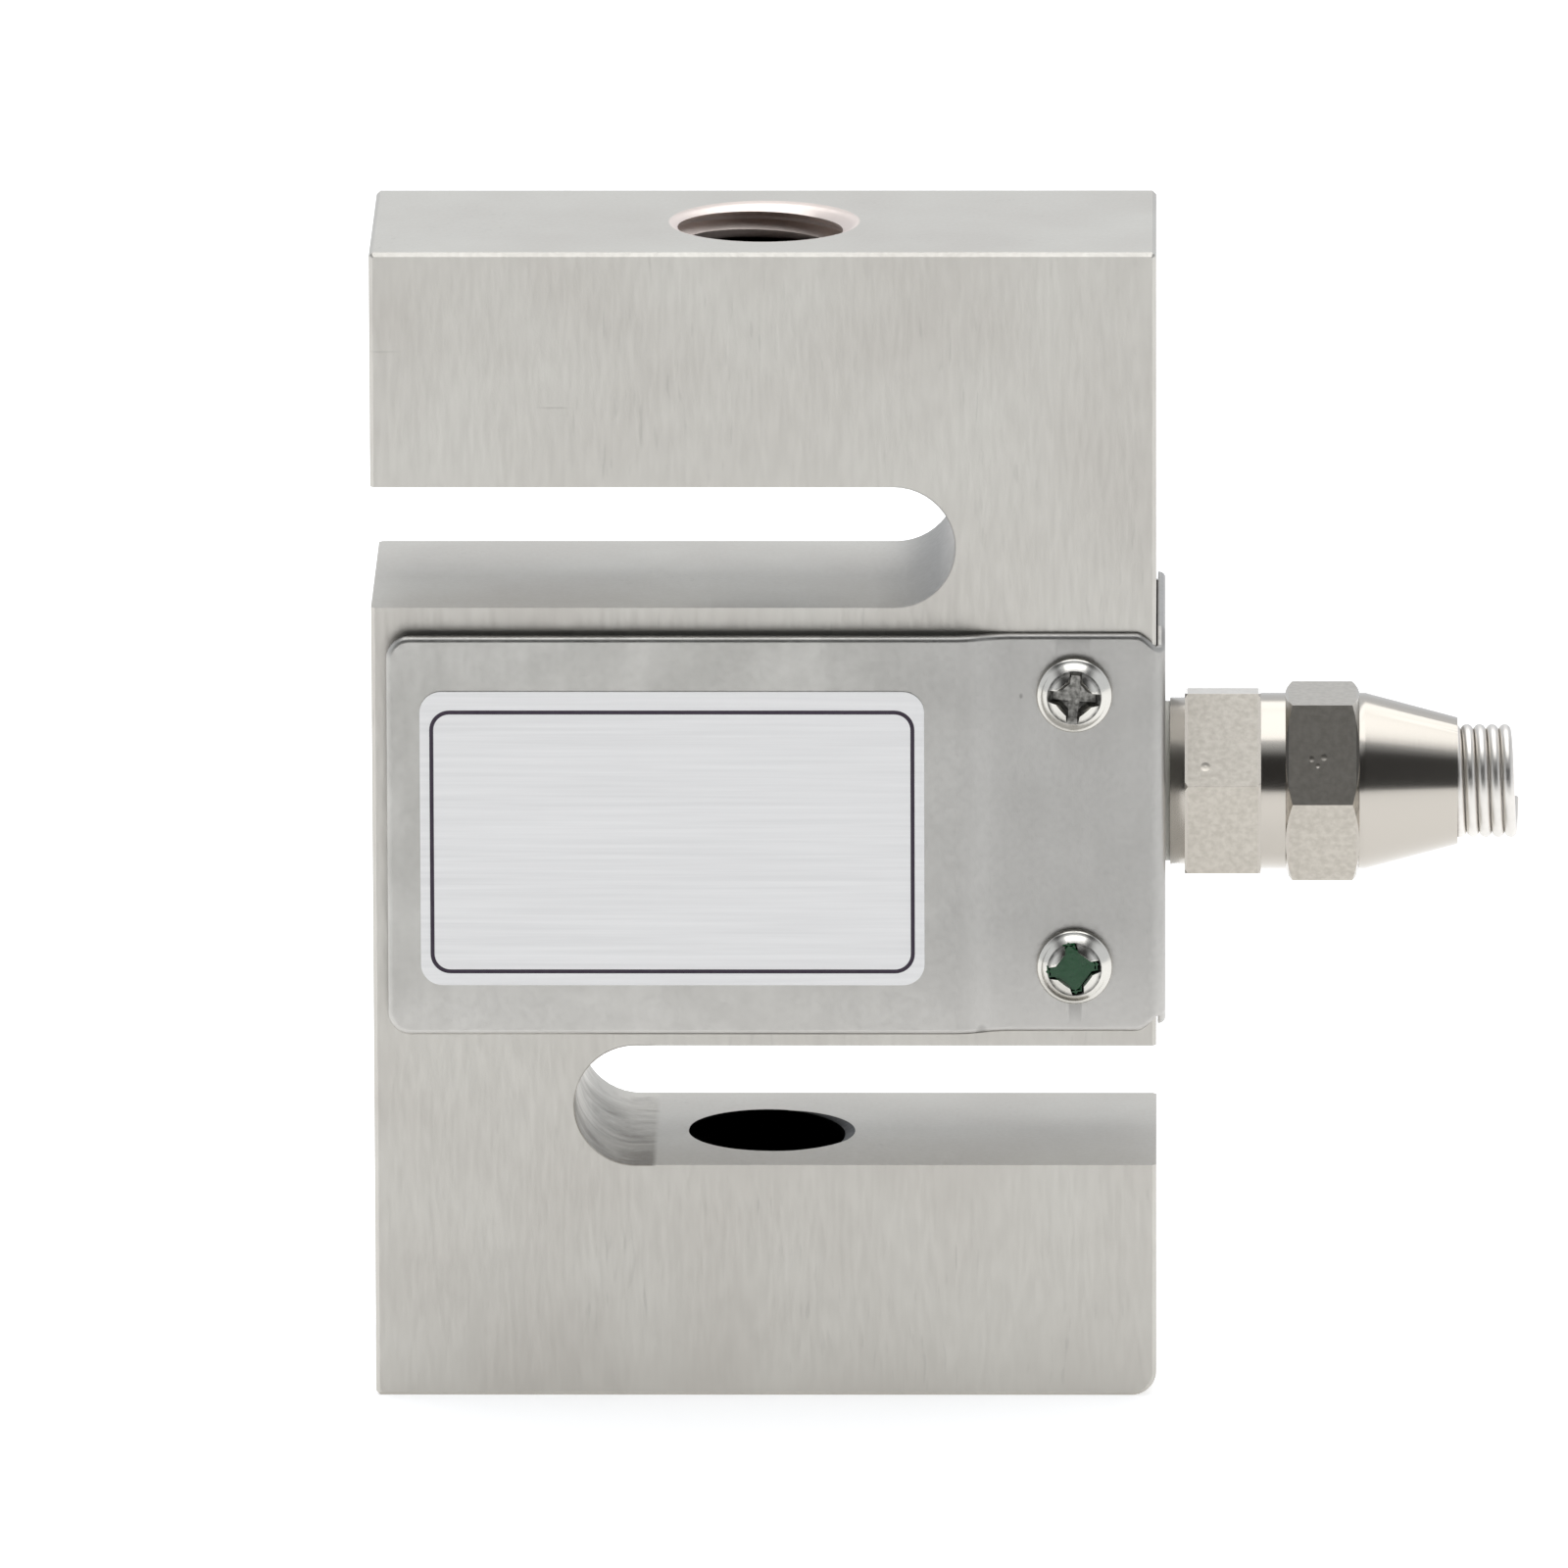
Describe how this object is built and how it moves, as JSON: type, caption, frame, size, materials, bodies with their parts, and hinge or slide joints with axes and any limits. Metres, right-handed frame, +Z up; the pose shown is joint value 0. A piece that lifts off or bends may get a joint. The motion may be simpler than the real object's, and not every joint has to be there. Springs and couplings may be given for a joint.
{
  "type": "s type load cell",
  "caption": "S-shaped steel load cell with a threaded hole in each arm, a bent sheet cover and a side cable gland with a strain-relief spring.",
  "frame": {"origin": "centre of the bottom face, where the lower threaded hole opens", "axes": "+Z up along the load axis, +X towards the cable gland, +Y to the back"},
  "size_m": [0.0744, 0.0238, 0.0762],
  "materials": {
    "nickel_steel": "nickel-plated machined alloy steel",
    "cover_sheet": "satin plated sheet steel",
    "dark_sealant": "dark rubbery sealant",
    "silver_film": "silvery polyester film",
    "screw_steel": "nickel-plated pan-head screw",
    "green_paint": "dried dark green paint",
    "gauge_foil": "foil on polyimide backing",
    "tinned_copper": "tinned copper strip",
    "board_laminate": "glass-epoxy board",
    "resistor_body": "moulded resistor body",
    "white_silicone": "soft white silicone",
    "nickel_brass": "bright nickel-plated brass",
    "black_rubber": "black nitrile rubber",
    "nylon": "natural nylon",
    "spring_wire": "bright nickel-plated spring wire"
  },
  "bodies": {
    "root": {"spring_element": "nickel_steel", "wrap_cover": "cover_sheet", "front_cover_seal": "dark_sealant", "rear_cover_seal": "dark_sealant", "nameplate": "silver_film", "front_upper_screw": "screw_steel", "front_lower_screw": "screw_steel", "rear_upper_screw": "screw_steel", "rear_lower_screw": "screw_steel", "tamper_seal": "green_paint", "terminal_board": "board_laminate", "trim_resistor": "resistor_body", "potting_compound": "white_silicone", "gland_body": "nickel_brass", "cap_nut": "nickel_brass", "sealing_washer": "black_rubber", "cable_seal": "black_rubber", "thrust_ring": "nylon", "relief_spring": "spring_wire", "upper_left_gauge": "gauge_foil", "upper_left_lead": "tinned_copper", "lower_left_gauge": "gauge_foil", "lower_left_lead": "tinned_copper", "upper_right_gauge": "gauge_foil", "upper_right_lead": "tinned_copper", "lower_right_gauge": "gauge_foil", "lower_right_lead": "tinned_copper"}
  },
  "joints": []
}
